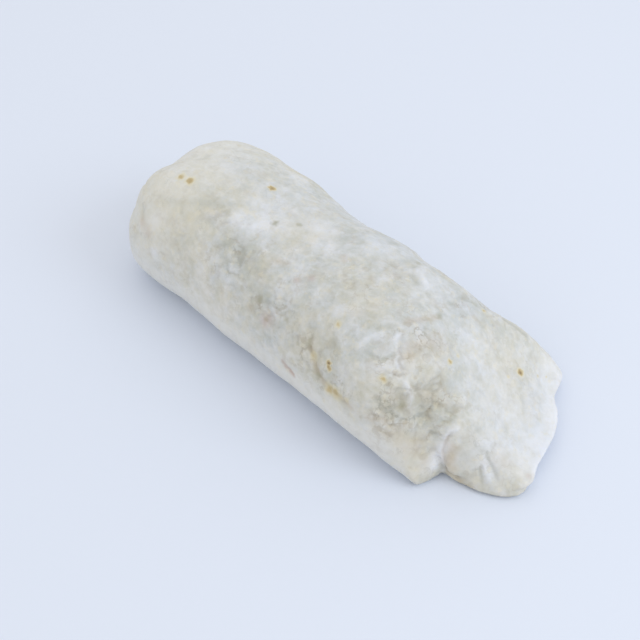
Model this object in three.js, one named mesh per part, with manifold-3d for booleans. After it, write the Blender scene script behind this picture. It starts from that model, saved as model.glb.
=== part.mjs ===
// A burrito: one soft flour tortilla rolled round its filling into a long parcel, a little flattened. One end
// is tucked shut and rounded. Past the filling at the other end the empty roll flattens and drops to the
// table as a broad lobe, whose two layers part at a wavy rim. The front corner of that end is creased off: it
// lies apart as a thin lip, and the lobe comes forward over it.
//
// Units are millimetres. +Z is up, +X runs along the roll to the loose end and -Y is the front. The origin is
// the middle of the outline box, on the table. The dimensions below are laid out along a line down the roll,
// and the finished piece is moved to the origin at the end.

import * as THREE from 'three';
import { ImprovedNoise } from 'three/addons/math/ImprovedNoise.js';
import { mergeVertices } from 'three/addons/utils/BufferGeometryUtils.js';
import Module from 'manifold-3d';

// ---- Driving dimensions ----------------------------------------------------------------------------------

const ROOT = 138; // where the filling ends and the lobe begins
const BELLY = 0.36; // height of the widest line of a section, as a share of its crest
const BASE_POWER = 2.6; // roundness of the lower half of a section: 2 is an ellipse, more is boxier
const PRESSED = 1.6; // how far the soft underside is pressed flat by its own weight
const SHEET = 2; // one layer of tortilla

// Sections of the roll as stations [x, value]. The crest is a height, front and back are distances from the
// line, and the crown is the roundness of the upper half. Past the root they shape the creased corner.
const CREST = [
  [11.5, 45.5], [30, 48.6], [54, 49.2], [84, 46.6], [116, 48.4], [ROOT, 46.6],
  [152, 41.2], [160, 31.5], [166, 20], [169.5, 11.5], [172.4, 5.5],
];
const FRONT = [
  [11.5, 29], [34, 31.9], [52, 31.1], [80, 31], [104, 30.8], [126, 31.5],
  [ROOT, 32], [147, 32], [158, 30.4], [166, 28], [176, 25.8],
];
const BACK = [
  [11.5, 37.5], [32, 38.2], [52, 37.6], [62, 38.6], [72, 37], [84, 36.2], [103, 36.9],
  [ROOT, 37.6], [156, 39],
];
const CROWN = [[11.5, 2.3], [ROOT, 2.3], [152, 2.5], [166, 2.5], [176, 2]];

// The closed end is a dome whose pole lies off the line and below half height. It slants, so that its back
// stands a little further in than its front, and folds are tucked into it.
const DOME = { start: 11, depth: 22, power: 3.4, poleY: -2, poleZ: 18, firstRing: 0.15 };
const SLANT = { perMm: 0.015, fadesBy: 66 };
const TUCKS = [{ angle: 0.55, depth: 0.09 }, { angle: 1.52, depth: 0.12 }, { angle: 2.75, depth: 0.1 }];
const TUCK_WIDTH = 0.2;

// Along the back the last turn laps over the one inside it and ends in a free edge that wanders a little.
const LAP = { angle: 3.5, step: 1.3, from: 1.5, edge: 0.012 };
const WANDER = { angle: 0.1, width: 0.5, length: 58 };

// Low swells and hollows that the filling makes in the skin.
const SWELLS = [{ size: 34, height: 1.5, seed: 3.7 }, { size: 15, height: 0.6, seed: 8.2 }];

// Two creases pressed into the back, across the roll: before the filling ends, and just past it.
const DENTS = [{ x: 120, depth: 1.4, width: 4 }, { x: 149, depth: 3.2, width: 4.5 }];
const DENT_BACK = { y: 36, reach: 11 };

// The lobe's rim as [x, y, height of the upper face]: forward along its overlapping edge, round the front tip
// and along the wavy end to the back corner. A place on it is told by its share of the length.
const RIM = [
  [167, 2, 12], [169.8, -4, 14.8], [170.3, -9, 14.4], [171.3, -12.6, 12.4], [173, -15, 9.8],
  [177.3, -15.8, 7.2], [182, -13.4, 6], [188.4, -10.8, 5.4], [195, -7.2, 5.2], [199.8, -2, 6],
  [199.6, 3.8, 5.8], [197, 8.4, 5.4], [194.4, 17.8, 6], [191.9, 25.2, 5.4], [188.2, 31.8, 6],
  [181.6, 38, 5.8], [178.4, 47.8, 6.4], [175.2, 52.3, 6.2], [170.5, 50.5, 4.4],
];
const RIM_MIDDLE = { x: 165, y: 14 }; // outward is away from here
const RIPPLE = { height: 0.45, count: 9, turn: 1.2, from: 0.3, full: 0.4, growth: 4 };
const PLEATS = [{ at: 0.4, depth: 1.4 }, { at: 0.46, depth: 1.2 }];
const PLEAT = { width: 0.02, growth: 5, fade: 12 };

// How long the lobe stays up and how gently it lands, as stations [share of the rim, power].
const HOLD = [[0, 2.2], [0.2, 2.1], [0.3, 1.75], [0.5, 1.9], [0.72, 1.9], [0.88, 2.9], [1, 2.9]];
const SETTLE = [[0, 1.5], [0.2, 1.3], [0.3, 1.2], [0.5, 1.75], [0.72, 1.75], [0.88, 1.7], [1, 1.6]];
const LEAN_FADE = 3; // how soon the lobe leaves the slope that the roll hands on to it
const LOBE_SWELL = 0.5;

// How far the lower layer stands out past the upper one, and how far it stays off the table. Under the
// overlapping edge it hangs close below the upper layer, and the two close up at the back corner.
const LOWER_REACH = [
  [0, -1], [0.22, -1], [0.29, 1.5], [0.35, 1.6], [0.41, 0.7], [0.45, -0.8], [0.5, -2.2], [1, -2.2],
];
const LOWER_LIFT = 0.3;
const OVERLAP = { gap: 1.4, from: 0.2, to: 0.34 };
const CLOSING = { from: 0.88, upper: 4.4, lower: 2.4, sheet: 0.8 };
const MOUTH = { depth: 8, slit: 0.15, nose: 0.7 };

// The creased corner is a second roll. It lies just inside the first, and shows where the lobe draws back.
// Its lip slants across to the notch under the lobe, where it lifts off the table.
const CORNER = { sunk: 1.8, backShare: 0.15, backFade: 16 };
const LIP = { start: 150, frontX: 172.4, notchX: 174.4, frontY: -26, notchY: -14, lift: 3 };

const RINGS = { dome: 11, roll: 38, lobe: 22, cornerHidden: 6, cornerShown: 16 };
const POINTS_AROUND = 64;
const WELD = 1e-3; // vertices closer than this are one

// ---- Small helpers ---------------------------------------------------------------------------------------

const { smoothstep, clamp } = THREE.MathUtils;
const mix = (a, b, t) => a + (b - a) * t;
const hump = (t) => 4 * t * (1 - t);
const bell = (distance, width) => Math.exp(-((distance / width) ** 2));
const superRound = (value, power) => Math.sign(value) * Math.abs(value) ** (2 / power);
const times = (count, make) => Array.from({ length: count }, (_, i) => make(i));

// A smooth curve through stations, with the slope at each taken from its neighbours.
function through(stations) {
  const last = stations.length - 1;
  const slope = (k) => {
    const [x0, y0] = stations[Math.max(k - 1, 0)];
    const [x1, y1] = stations[Math.min(k + 1, last)];
    return (y1 - y0) / (x1 - x0);
  };
  return (x) => {
    let k = 0;
    while (k < last - 1 && x > stations[k + 1][0]) k += 1;
    const [x0, y0] = stations[k];
    const [x1, y1] = stations[k + 1];
    const span = x1 - x0;
    const rise = y1 - y0;
    const t = clamp((x - x0) / span, 0, 1);
    const start = slope(k) * span;
    const end = slope(k + 1) * span;
    return y0 + start * t + (3 * rise - 2 * start - end) * t ** 2 + (start + end - 2 * rise) * t ** 3;
  };
}

// Joins rings of equal length into one closed surface. Each end is closed by a strip that zips the first half
// of its ring to the second.
function loft(rings) {
  const count = rings[0].length;
  const faces = [];
  const quad = (a, b, c, d) => faces.push(a, b, c, a, c, d);
  for (let i = 0; i < rings.length - 1; i += 1) {
    for (let j = 0; j < count; j += 1) {
      const a = i * count + j;
      const b = i * count + ((j + 1) % count);
      quad(a, a + count, b + count, b);
    }
  }
  const end = (rings.length - 1) * count;
  for (let i = 0; i < count / 2 - 1; i += 1) {
    const j = count - 1 - i;
    quad(i, i + 1, j - 1, j);
    quad(end + j, end + j - 1, end + i + 1, end + i);
  }
  const numbers = rings.flat().flatMap((point) => point.toArray());
  const geometry = new THREE.BufferGeometry();
  geometry.setAttribute('position', new THREE.Float32BufferAttribute(numbers, 3));
  geometry.setIndex(faces);
  return geometry;
}

// ---- Sections of the roll --------------------------------------------------------------------------------

const crestAt = through(CREST);
const frontAt = through(FRONT);
const backAt = through(BACK);
const crownAt = through(CROWN);
const noise = new ImprovedNoise();

function dent(x, y) {
  const pressed = DENTS.reduce((sum, line) => sum + line.depth * bell(x - line.x, line.width), 0);
  return pressed * bell(y - DENT_BACK.y, DENT_BACK.reach);
}

function swell(x, y, z) {
  return SWELLS.reduce((sum, { size, height, seed }) => (
    sum + height * noise.noise(x / size + seed, y / size + seed, z / size)
  ), -dent(x, y));
}

// Angles round a section, counted from the front over the crest, with two rows close together at the lap.
function sectionAngles() {
  const angles = times(POINTS_AROUND, (j) => ((j + 0.5) / POINTS_AROUND) * 2 * Math.PI);
  const row = angles.findIndex((angle) => angle > LAP.angle) - 1;
  angles[row] = LAP.angle - LAP.edge;
  angles[row + 1] = LAP.angle + LAP.edge;
  return angles;
}

// The last turn's thickness, which comes in gently over the back and stops short at the free edge.
function lap(angle) {
  return angle > LAP.angle ? 0 : LAP.step * smoothstep(angle, LAP.from, LAP.angle);
}

// A point of the section at x. A sunk section is smaller all round.
function sectionPoint(x, angle, sunk) {
  const crest = crestAt(x);
  const belly = crest * BELLY;
  const wander = Math.sin((x / WANDER.length) * 2 * Math.PI) * bell(angle - LAP.angle, WANDER.width);
  const across = Math.cos(angle + WANDER.angle * wander);
  const up = Math.sin(angle + WANDER.angle * wander);
  const power = up > 0 ? crownAt(x) : BASE_POWER;
  const point = new THREE.Vector3(
    0,
    -(across > 0 ? frontAt(x) : backAt(x)) * superRound(across, power),
    (up > 0 ? crest - belly : belly + PRESSED) * superRound(up, power),
  );
  point.setLength(point.length() + swell(x, point.y, point.z) + lap(angle) - sunk);
  return point.add(new THREE.Vector3(x, 0, belly));
}

function onTable(point) {
  point.z = Math.max(point.z, 0);
  return point;
}

// ---- The roll, from its closed end to the lobe's rim -----------------------------------------------------

function domeRing(turn) {
  const x = DOME.start + DOME.depth * (1 - Math.cos(turn) ** (2 / DOME.power));
  const grow = Math.sin(turn) ** (2 / DOME.power);
  return sectionAngles().map((angle) => {
    const fold = TUCKS.reduce((sum, tuck) => sum + tuck.depth * bell(angle - tuck.angle, TUCK_WIDTH), 0);
    const size = grow * (1 - fold * Math.sin(2 * turn));
    const point = sectionPoint(x, angle, 0);
    point.y = mix(DOME.poleY, point.y, size);
    point.z = mix(DOME.poleZ, point.z, size);
    return point;
  });
}

function slanted(point) {
  const fade = 1 - smoothstep(point.x, DOME.start, DOME.start + SLANT.fadesBy);
  point.x += SLANT.perMm * (point.y - DOME.poleY) * fade;
  return point;
}

const rimCurve = new THREE.CatmullRomCurve3(RIM.map((p) => new THREE.Vector3(...p)), false, 'centripetal');
const reachAt = through(LOWER_REACH);
const holdAt = through(HOLD);
const settleAt = through(SETTLE);

// The rim at an angle round the section: how far along it is, the edge's place, which way is outward, the
// sheet's thickness, and the heights of the upper layer's top and the lower layer's bottom.
function rimAt(angle) {
  const isUpper = angle < Math.PI;
  const share = (isUpper ? angle : 2 * Math.PI - angle) / Math.PI;
  const edge = rimCurve.getPointAt(share);
  const outward = new THREE.Vector3(edge.x - RIM_MIDDLE.x, edge.y - RIM_MIDDLE.y, 0).normalize();
  const closing = smoothstep(share, CLOSING.from, 1);
  const sheet = mix(SHEET, CLOSING.sheet, closing);
  const top = mix(edge.z, CLOSING.upper, closing);
  const hanging = top - 2 * sheet - OVERLAP.gap;
  const lying = mix(hanging, LOWER_LIFT, smoothstep(share, OVERLAP.from, OVERLAP.to));
  const bottom = mix(lying, CLOSING.lower, closing);
  if (!isUpper) edge.addScaledVector(outward, reachAt(share) * (1 - closing));
  const wave = Math.sin(2 * Math.PI * RIPPLE.count * share + RIPPLE.turn);
  const ripple = RIPPLE.height * wave * smoothstep(share, RIPPLE.from, RIPPLE.full) * (1 - closing);
  return { isUpper, share, edge, outward, sheet, top, bottom, ripple };
}

// How deep the pleats are pressed in at a share of the rim and a share v of the way out to it.
function pleat(share, v) {
  const depth = PLEATS.reduce((sum, line) => sum + line.depth * bell(share - line.at, PLEAT.width), 0);
  return depth * v ** PLEAT.growth * (1 - v ** PLEAT.fade);
}

function lobeRing(v) {
  return sectionAngles().map((angle) => {
    const { isUpper, share, edge, top, bottom, ripple } = rimAt(angle);
    const root = onTable(sectionPoint(ROOT, angle, 0));
    const lean = onTable(sectionPoint(ROOT + 1, angle, 0)).sub(root);
    const fall = (1 - v ** holdAt(share)) ** settleAt(share);
    const point = new THREE.Vector3(
      mix(root.x, edge.x, v),
      mix(root.y, edge.y, smoothstep(v, 0, 1)),
      mix(isUpper ? top : bottom, root.z, fall),
    );
    const carried = v * (edge.x - ROOT) * (1 - v) ** LEAN_FADE;
    point.y += lean.y * carried;
    point.z += lean.z * carried;
    if (isUpper) {
      point.z += hump(v) * LOBE_SWELL * swell(point.x, point.y, point.z);
      point.z += ripple * v ** RIPPLE.growth - pleat(share, v);
    }
    return point;
  });
}

// A ring past the rim, where the surface turns in round the edge of each layer and runs back between them.
// It stands out from the edge, lies some way down through the layers, and may be drawn in to the slit.
function mouthRing({ out, down, drawnIn }) {
  return sectionAngles().map((angle) => {
    const { isUpper, edge, outward, sheet, top, bottom, ripple } = rimAt(angle);
    const slit = (top + bottom) / 2 + (isUpper ? MOUTH.slit : -MOUTH.slit);
    const face = isUpper ? top + ripple - down * sheet : bottom + down * sheet;
    return edge.addScaledVector(outward, out).setZ(mix(face, slit, drawnIn));
  });
}

function makeRoll() {
  const turn = Math.PI / 2 / (RINGS.dome + DOME.firstRing);
  const dome = times(RINGS.dome, (i) => domeRing((i + DOME.firstRing) * turn));
  const body = times(RINGS.roll, (i) => {
    const x = mix(DOME.start + DOME.depth, ROOT, i / RINGS.roll);
    return sectionAngles().map((angle) => sectionPoint(x, angle, 0));
  });
  return loft([
    ...[...dome, ...body].map((ring) => ring.map((point) => onTable(slanted(point)))),
    ...times(RINGS.lobe + 1, (i) => lobeRing(i / RINGS.lobe)),
    mouthRing({ out: MOUTH.nose, down: 0.5, drawnIn: 0 }),
    mouthRing({ out: 0, down: 1, drawnIn: 0 }),
    mouthRing({ out: -MOUTH.depth, down: 1, drawnIn: 1 }),
  ]);
}

// ---- The creased front corner ----------------------------------------------------------------------------

function cornerRing(i) {
  const x = mix(ROOT, LIP.frontX, i / RINGS.cornerShown);
  const share = smoothstep(x, LIP.start, LIP.frontX);
  const sunk = CORNER.sunk * smoothstep(-i, 0, RINGS.cornerHidden);
  const drawn = mix(1, CORNER.backShare, smoothstep(x, ROOT - CORNER.backFade, ROOT + CORNER.backFade));
  return sectionAngles().map((angle) => {
    const point = sectionPoint(x, angle, sunk);
    const toNotch = smoothstep(point.y, LIP.frontY, LIP.notchY);
    if (point.y > 0) point.y *= drawn;
    point.x += (LIP.notchX - LIP.frontX) * toNotch * share;
    if (angle > Math.PI) point.z += LIP.lift * toNotch * share ** 2;
    return onTable(point);
  });
}

function makeCorner() {
  const count = RINGS.cornerHidden + RINGS.cornerShown + 1;
  return loft(times(count, (i) => cornerRing(i - RINGS.cornerHidden)));
}

// ---- One piece of food -----------------------------------------------------------------------------------

const wasm = await Module();
wasm.setup();

function toSolid(geometry) {
  const merged = mergeVertices(geometry, WELD);
  const vertProperties = merged.attributes.position.array;
  const triVerts = new Uint32Array(merged.index.array);
  return new wasm.Manifold(new wasm.Mesh({ numProp: 3, vertProperties, triVerts }));
}

function toGeometry(solid) {
  const { vertProperties, triVerts } = solid.getMesh();
  const geometry = new THREE.BufferGeometry();
  geometry.setAttribute('position', new THREE.BufferAttribute(vertProperties, 3));
  geometry.setIndex(new THREE.BufferAttribute(triVerts, 1));
  return geometry;
}

// A union may seal a tiny pocket or cut off a scrap, which shows once its vertices are merged. The largest
// body has neither.
function mainBody(solid) {
  return solid.decompose().reduce((best, body) => (body.volume() > best.volume() ? body : best));
}

// Moves the middle of the outline box over the origin and its bottom onto the table.
function centreOnTable(geometry) {
  geometry.computeBoundingBox();
  const middle = geometry.boundingBox.getCenter(new THREE.Vector3());
  geometry.translate(-middle.x, -middle.y, -geometry.boundingBox.min.z);
  return geometry;
}

const fused = toSolid(makeRoll()).add(toSolid(makeCorner()));
const tortilla = centreOnTable(toGeometry(mainBody(toSolid(toGeometry(fused)))));
tortilla.computeVertexNormals();

const flour = new THREE.MeshStandardMaterial({ color: 0xcbccc9, roughness: 0.75, metalness: 0 });
const burrito = new THREE.Mesh(tortilla, flour);
burrito.name = 'burrito';

const part = new THREE.Group();
part.add(burrito);
export default part;
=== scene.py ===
"""A rolled flour tortilla parcel (burrito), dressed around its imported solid.

The shape work is in millimetres in the part's frame; the finished piece is scaled to metres.
"""

import bpy
import numpy as np
from mathutils import Matrix, Vector, noise


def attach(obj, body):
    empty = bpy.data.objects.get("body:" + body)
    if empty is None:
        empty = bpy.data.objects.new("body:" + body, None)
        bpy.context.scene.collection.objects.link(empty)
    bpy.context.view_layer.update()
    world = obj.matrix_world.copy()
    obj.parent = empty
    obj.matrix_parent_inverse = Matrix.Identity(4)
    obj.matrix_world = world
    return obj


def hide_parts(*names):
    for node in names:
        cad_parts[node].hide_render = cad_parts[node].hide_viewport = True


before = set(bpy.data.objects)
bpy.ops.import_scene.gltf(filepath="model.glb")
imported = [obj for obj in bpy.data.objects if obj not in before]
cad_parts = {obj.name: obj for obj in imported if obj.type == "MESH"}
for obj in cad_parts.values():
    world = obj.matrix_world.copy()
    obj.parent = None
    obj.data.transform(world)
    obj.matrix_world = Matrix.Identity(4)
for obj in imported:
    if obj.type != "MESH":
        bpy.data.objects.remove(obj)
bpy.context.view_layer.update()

MM = 0.001


# ---------------------------------------------------------------- camera

CAMERA_PLACE = (0.21744, -0.24377, 0.3509)
CAMERA_RIGHT = (0.7061, 0.7079, 0.0182)
CAMERA_UP = (-0.5213, 0.5022, 0.6900)
PHOTO_SIDE_PX = 640
FOCAL_LENGTH_PX = 1230
SENSOR_MM = 36
NEAREST_SEEN = 0.01
FARTHEST_SEEN = 20


def make_camera():
    """The camera stands where the plate's rim and the roll's outline put the photograph's."""
    data = bpy.data.cameras.new("photo_camera")
    data.sensor_fit = "HORIZONTAL"
    data.sensor_width = SENSOR_MM
    data.lens = SENSOR_MM * FOCAL_LENGTH_PX / PHOTO_SIDE_PX
    data.clip_start = NEAREST_SEEN
    data.clip_end = FARTHEST_SEEN
    camera = bpy.data.objects.new("photo_camera", data)
    right = Vector(CAMERA_RIGHT).normalized()
    back = right.cross(Vector(CAMERA_UP)).normalized()
    up = back.cross(right)
    turn = Matrix((right, up, back)).transposed().to_4x4()
    camera.matrix_world = Matrix.Translation(CAMERA_PLACE) @ turn
    bpy.context.scene.collection.objects.link(camera)
    bpy.context.scene.camera = camera


make_camera()


# ---------------------------------------------------------------- places on the roll, mm

# The sheet's tones, from 0 to 1 at each vertex: the damp tone is translucent and grey-green, bright is dry
# and floury, tan and rosy are faint marks of the griddle and the filling, warm is oily and yellowish, and
# cool is the bluish white of painted window light. On the folds' grooves the damp and tan tones are also
# painted shade, on their ridges and lips the bright tone is also a painted highlight, and on the flap and the
# near end the bright patches are partly painted window light.
TONES = ("damp_and_shade", "bright", "tan", "rosy", "warm", "cool")

# The free edge of the last turn, low along the back.
LAP_EDGE = [
    (-84, 23.5, 8), (-73, 26.6, 9.7), (-62, 27.4, 11), (-51, 27.2, 9.6), (-40, 26.1, 7.4),
    (-29, 23.9, 7.2), (-18, 24.8, 8.8), (-7, 26.8, 10.4), (4, 26.8, 10), (15, 24.3, 8.2), (26, 25, 7),
    (37, 26, 7.7), (48, 28.2, 7),
]

# Folds of the sheet: (points, half width, height, tone, its strength). A height below zero is a groove, and
# zero a tone alone. On a groove the damp and tan tones are partly painted shade in the crease, and on a ridge
# or lip the bright tone is partly a painted highlight.
FOLDS = {
    "lap_lip": ([(x, y, z + 0.6) for x, y, z in LAP_EDGE], 1.2, 0.4, "bright", 0.6),
    "lap_under": ([(x, y - 0.6, z - 1.2) for x, y, z in LAP_EDGE], 0.9, -0.9, "damp_and_shade", 1.0),
    "tuck_edge": (
        [
            (-86.1, -35, 31), (-92.3, -29, 27.5), (-94.5, -22, 25), (-94.9, -15, 20.5), (-94.8, -8, 18),
            (-94.4, 0, 13), (-93.3, 8, 10.5), (-90.1, 15, 7),
        ],
        0.9, -0.9, "damp_and_shade", 0.8,
    ),
    "tuck_lip": (
        [
            (-87, -33, 32.5), (-92.7, -27, 29.3), (-94.5, -20.5, 26.6), (-94.8, -13.5, 22.2),
            (-94.7, -6.5, 19.8), (-94.5, 1.2, 15), (-93.5, 9, 12.4),
        ],
        1.3, 0.55, "bright", 0.5,
    ),
    "tuck_pleat_front": (
        [(-94.2, -23, 27), (-92.9, -25.5, 31.5), (-91.1, -25, 36.5), (-86.9, -28, 40)],
        0.8, -0.5, "damp_and_shade", 0.5,
    ),
    "tuck_pleat_top": (
        [(-94.8, -9, 20), (-94.7, -7.5, 25.5), (-94.2, -3, 30), (-93.3, -2.5, 34.5)],
        0.8, -0.45, "tan", 0.45,
    ),
    "tuck_pleat_back": (
        [(-94.2, 4, 14), (-93.8, 8.5, 18.5), (-92.1, 15.5, 20.5)],
        0.7, -0.4, "damp_and_shade", 0.5,
    ),
    "rear_long": (
        [(-52, 18, 41.7), (-44, 22.8, 37.7), (-36, 25.1, 32.1), (-30, 26.8, 26.3)],
        1.0, -0.5, "damp_and_shade", 0.7,
    ),
    "rear_mid": (
        [(-8, 15.1, 42), (0, 20.2, 38.8), (6, 24.2, 34.3), (10, 27, 27.6)],
        0.9, -0.5, "damp_and_shade", 0.7,
    ),
    "rear_near": (
        [(22, 17.9, 40), (30, 21.8, 35.7), (38, 24.3, 31.7), (43, 28.3, 25.4)],
        1.0, -0.5, "tan", 0.6,
    ),
    "rear_end": ([(-74, 14.4, 42.9), (-68, 21.6, 38.5), (-66, 25.8, 32.4)], 1.0, -0.4, "damp_and_shade", 0.6),
    "rear_low_far": (
        [(-30, 27.7, 19.2), (-22, 27.1, 15.7), (-12, 27.2, 14.5)],
        1.2, 0.4, "bright", 0.5,
    ),
    "rear_low_near": ([(12, 27.4, 20.4), (22, 28.4, 18), (32, 27.9, 14.4)], 0.9, -0.4, "damp_and_shade", 0.6),
    "elbow_crease": (
        [
            (32, -31.6, 41.5), (36, -30.4, 41.6), (39.9, -30, 41), (41.6, -26.4, 42.2),
            (42.4, -22.9, 43.1), (39.5, -20.4, 45),
        ],
        0.75, -0.4, "damp_and_shade", 0.7,
    ),
    "elbow_lip": (
        [(36, -33.4, 40), (41, -31.5, 39.5), (44.2, -27, 40.8), (45.2, -22.6, 41.9)],
        1.2, 0.25, "bright", 0.35,
    ),
    "shoulder_ridge": (
        [(48.4, -27.6, 37.4), (50.6, -27.6, 35.2), (53.2, -28.1, 31.9), (54.6, -31, 28)],
        0.75, 0.5, "bright", 0.75,
    ),
    "shoulder_groove": (
        [(50.4, -25.6, 37), (53.2, -25.9, 34), (56.2, -26.6, 30), (58.4, -27.6, 26.4)],
        0.9, -0.6, "damp_and_shade", 1.0,
    ),
    "shoulder_outer": (
        [(48.6, -30.8, 35.4), (51.6, -31.6, 31.6), (52.8, -34, 27.6)],
        1.2, -0.5, "damp_and_shade", 0.8,
    ),
    "c_fold": (
        [(59.6, -21.6, 30), (62, -21.7, 27.4), (64.7, -19.4, 26.1), (67, -18.6, 24.3)],
        0.8, -0.45, "damp_and_shade", 0.8,
    ),
    "c_fold_inner": (
        [(62.6, -24.2, 24.6), (64.8, -22.3, 23.9), (66.8, -19.9, 23.6)],
        0.7, -0.35, "damp_and_shade", 0.7,
    ),
    "c_fold_back": (
        [(58.7, -24.3, 28.8), (59.4, -26.4, 26.4), (60.9, -26, 23.6)],
        0.8, -0.4, "tan", 0.7,
    ),
    "groove_arch": (
        [(65.5, -25.3, 17.3), (66.7, -23.4, 20), (67.8, -20.7, 21.9), (69.3, -18.8, 21.6)],
        1.2, 0.7, "bright", 0.7,
    ),
    # The corner's strip is painted bright where it faces the light: painted highlight.
    "corner_strip": (
        [(67.6, -23.6, 18.6), (67, -26.2, 11.1), (67.1, -30.2, 5.1)],
        1.7, 0.35, "bright", 1.0,
    ),
    # Tan on the lobe's flank and step: partly painted shade, partly the lobe's toasted edge.
    "lobe_flank": (
        [(70.4, -21.8, 17.6), (70.1, -22.6, 16.4), (70.2, -25, 10.2), (70.8, -26, 6)],
        1.9, 0.2, "tan", 1.0,
    ),
    "lobe_step": (
        [(67.5, -21, 22), (67.2, -23.7, 18.5), (67.4, -25.6, 13.5), (69, -26, 8.8), (71.3, -25.2, 3.3)],
        0.7, -0.8, "tan", 0.9,
    ),
    # Tan on the lower layer's strip: partly painted shade under the upper layer, partly its toasted edge.
    "lower_strip": (
        [(71.5, -25, 3.4), (75.2, -24.7, 2), (78.6, -24.3, 1.4), (82.4, -23.5, 1.4)],
        1.3, 0, "tan", 0.7,
    ),
    "flap_rim": (
        [
            (93.9, -12.3, 6), (93.7, -6.5, 5.8), (91.1, -1.9, 5.4), (88.5, 7.5, 6), (86, 14.9, 5.4),
            (82.3, 21.5, 6), (75.7, 27.7, 5.8),
        ],
        1.7, 0.1, "bright", 1.0,
    ),
    "flap_pleat_long": (
        [(77.6, -14.8, 15), (79.6, -16.2, 12.7), (83.3, -16.4, 9), (87.6, -17.6, 5.5)],
        0.5, -0.42, "damp_and_shade", 1.0,
    ),
    "flap_pleat_ridge": (
        [(78.4, -17.6, 12.6), (81.4, -18.8, 8.8), (85.2, -19.6, 5.2)],
        1.0, 0.5, "bright", 0.5,
    ),
    "flap_pleat_short": (
        [(79.2, -18.4, 11), (80, -19.9, 9.1), (81.7, -20.8, 6.4), (82.8, -20.9, 2.4)],
        0.5, -0.36, "damp_and_shade", 0.9,
    ),
    "back_dent": ([(13.4, -1.2, 48), (16, 5.5, 46.9), (16.7, 14.2, 43.1)], 1.2, -0.35, "damp_and_shade", 0.5),
    "back_ridge": ([(20.5, 1, 47.2), (22.6, 8, 45.4), (23, 15, 42)], 1.8, 0.4, "bright", 0.4),
    "back_crease": (
        [
            (36.6, 4.2, 43.9), (39.3, 8.3, 41.6), (38.1, 13.7, 39.9), (40.8, 17.8, 36.5),
            (44.5, 21.2, 32.6),
        ],
        1.0, -0.5, "damp_and_shade", 0.75,
    ),
    "back_arc": (
        [(47.9, 26.6, 28.1), (53, 29, 24), (57.2, 32.3, 20.4), (59.3, 31.9, 19)],
        1.0, -0.6, "damp_and_shade", 0.9,
    ),
    "top_streak": (
        [(35.8, -17, 46.6), (37.1, -12.4, 46.3), (40, -5, 44), (41.3, 0, 42.5)],
        1.0, -0.45, "tan", 0.75,
    ),
    "front_seam": (
        [
            (9.7, -38.3, 32.7), (12.1, -37.7, 34.1), (17, -39.2, 32), (21.5, -40.9, 26.8),
            (27.8, -41.2, 24.5), (38, -41.6, 24),
        ],
        1.2, -0.6, "damp_and_shade", 0.8,
    ),
    "front_stain": (
        [
            (10, -36.1, 36.4), (13.3, -37.4, 34.8), (17.2, -39.2, 32), (19.4, -40.4, 29),
            (23.6, -41, 26), (29.2, -41.2, 25), (35.7, -41.4, 25.4), (42.4, -41.3, 23.6),
        ],
        1.1, 0, "tan", 1.0,
    ),
    "red_streak": ([(2.4, -41.1, 21.1), (6.5, -41.5, 19.3), (11.4, -41.8, 17.6)], 0.9, 0, "rosy", 1.0),
    "white_streak": (
        [(37.3, -19.7, 45.8), (40.6, -21.6, 44.3), (43.2, -24.7, 42.1)],
        0.9, 0, "bright", 0.9,
    ),
    "front_mark": ([(43.9, -41, 24.2), (47.6, -39.4, 25), (51.3, -37.1, 27.1)], 0.9, -0.4, "tan", 0.8),
    "red_crease": (
        [(3.5, -41.3, 18.3), (7.6, -41.6, 19.2), (10.9, -41.8, 18.2)],
        0.8, -0.4, "rosy", 1.0,
    ),
    "left_diagonal": (
        [(-42, -33.2, 40.1), (-38, -29.7, 42.5), (-36.3, -25.2, 44.8)],
        1.0, -0.5, "damp_and_shade", 1.0,
    ),
    "left_short": ([(-33.2, -33.3, 39.1), (-32.6, -28.7, 42.5)], 0.9, -0.4, "damp_and_shade", 0.8),
    "left_stroke": (
        [(-81.8, -34.1, 37.1), (-79.5, -35.6, 36.4), (-77, -38, 33)],
        0.9, -0.4, "damp_and_shade", 0.6,
    ),
    "left_stroke_mid": ([(-72.4, -31.4, 43.3), (-70.2, -33.4, 41.9)], 0.8, -0.35, "damp_and_shade", 0.6),
    "left_stroke_right": (
        [(-64.3, -29.2, 45.1), (-62.4, -30.4, 44), (-60.8, -31.9, 43)],
        0.9, -0.4, "damp_and_shade", 0.6,
    ),
    "bent_mark": ([(-1.3, -6, 47.5), (1.6, -8.4, 47.7), (3.5, -8.4, 47.9)], 1.1, -0.3, "tan", 0.7),
    "left_band": (
        [(-80, -32, 41), (-66.4, -29.9, 44.7), (-55.7, -24.2, 47), (-44.5, -16.6, 48)],
        1.6, -0.45, "damp_and_shade", 0.6,
    ),
    "back_line": ([(18, 11, 45), (23.3, 3.9, 47), (30, 0.6, 46.6)], 0.9, -0.4, "damp_and_shade", 0.7),
    "back_line_crest": ([(20.5, 13, 44), (25.5, 6.5, 46), (32, 3, 45.6)], 1.2, 0.45, "bright", 0.6),
    "streak_left": (
        [(29.7, -24.5, 45.5), (33.2, -21.2, 46.2), (35.8, -17, 46.6)],
        0.9, -0.4, "damp_and_shade", 0.7,
    ),
    "light_arc": (
        [(29.7, -33, 40.8), (31.9, -26.7, 44.3), (35.9, -21.1, 45.8)],
        1.1, 0.4, "bright", 0.5,
    ),
    "flap_line": ([(70.4, 12.8, 15.7), (72.6, 11.4, 14), (74.8, 10.2, 12.8)], 1.0, -0.35, "damp_and_shade", 0.4),
    "flap_hollow": ([(74.8, -0.5, 15.2), (77, -4, 14.4), (79.3, -7.4, 14)], 1.6, -0.4, "damp_and_shade", 0.35),
    "mid_mark": ([(-19.2, -23.8, 43.5), (-15, -22.6, 44), (-12.1, -21, 44.5)], 1.0, -0.3, "tan", 0.5),
}

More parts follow.
